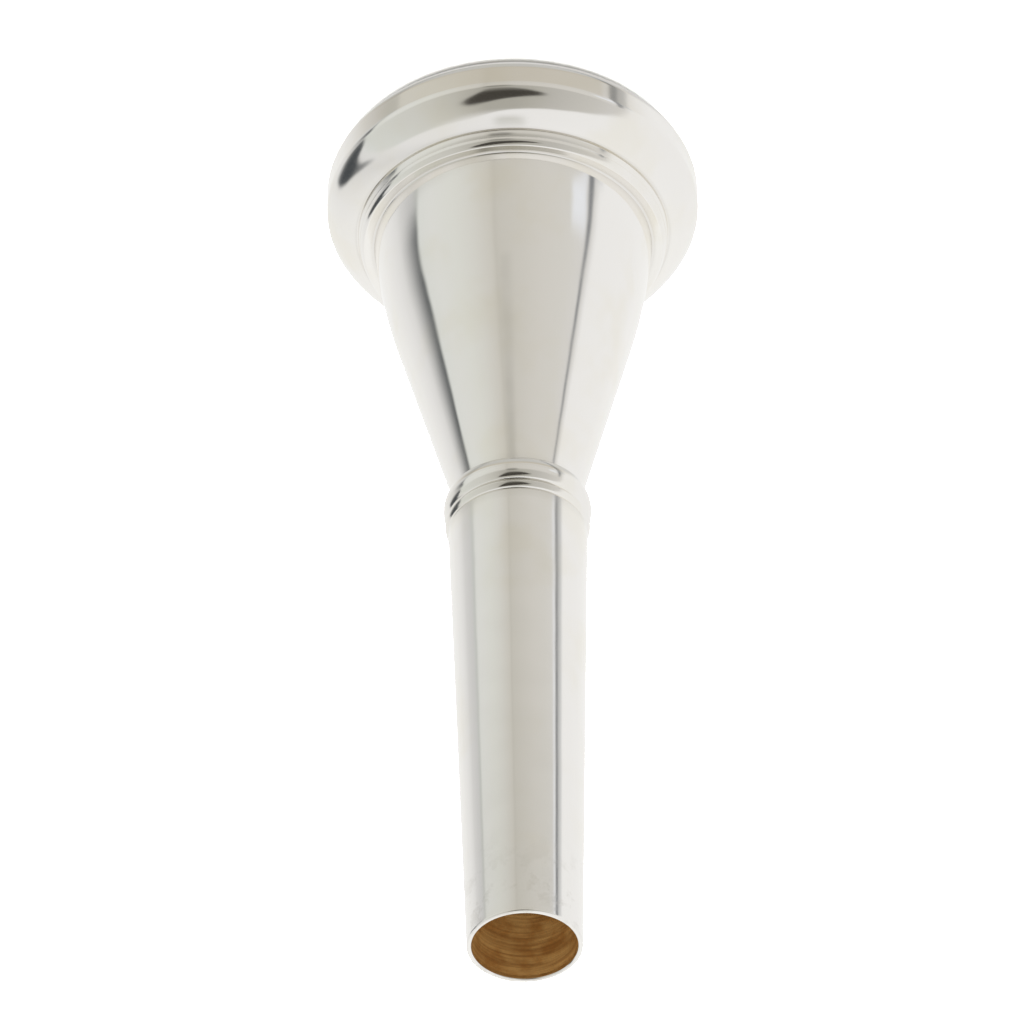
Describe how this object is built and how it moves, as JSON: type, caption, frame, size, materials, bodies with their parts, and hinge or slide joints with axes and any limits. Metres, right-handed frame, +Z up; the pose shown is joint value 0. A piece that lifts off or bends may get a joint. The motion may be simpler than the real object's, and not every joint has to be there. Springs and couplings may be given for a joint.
{
  "type": "french horn mouthpiece",
  "caption": "Turned horn mouthpiece: rounded rim and funnel cup, beaded rings at rim and neck, slim tapered shank with a through bore, rim and shank unscrew from the cup.",
  "frame": {"origin": "on the axis, in the plane that the rim's crown touches when the mouthpiece stands on its rim", "axes": "+Z runs up the axis from the rim to the open end of the shank; X and Y are any two directions across it, since every piece but the screw threads is round about Z"},
  "size_m": [0.0248, 0.0248, 0.0651],
  "materials": {
    "silver_plate": "polished"
  },
  "bodies": {
    "cup": {"cup": "silver_plate"},
    "rim_ring": {"rim_ring": "silver_plate"},
    "rim": {"rim": "silver_plate"},
    "neck_ring": {"neck_ring": "silver_plate"},
    "shank": {"shank": "silver_plate"}
  },
  "joints": [
    {"name": "rim_lift", "type": "slide", "parent": "cup", "child": "rim_ring", "axis": [0, 0, -1], "range_m": [0, 0.003]},
    {"name": "rim_screw", "type": "hinge", "parent": "rim_ring", "child": "rim", "pos_m": [0, 0, 0.0035], "axis": [0, 0, -1], "range_deg": [0, 1440]},
    {"name": "shank_lift", "type": "slide", "parent": "cup", "child": "neck_ring", "axis": [0, 0, 1], "range_m": [0, 0.00525]},
    {"name": "shank_screw", "type": "hinge", "parent": "neck_ring", "child": "shank", "pos_m": [0, 0, 0.034], "axis": [0, 0, 1], "range_deg": [0, 2520]}
  ],
  "couplings": [
    {"joint": "rim_lift", "follows": "rim_screw", "m_per_rad": 0.00011937},
    {"joint": "shank_lift", "follows": "shank_screw", "m_per_rad": 0.00011937}
  ]
}
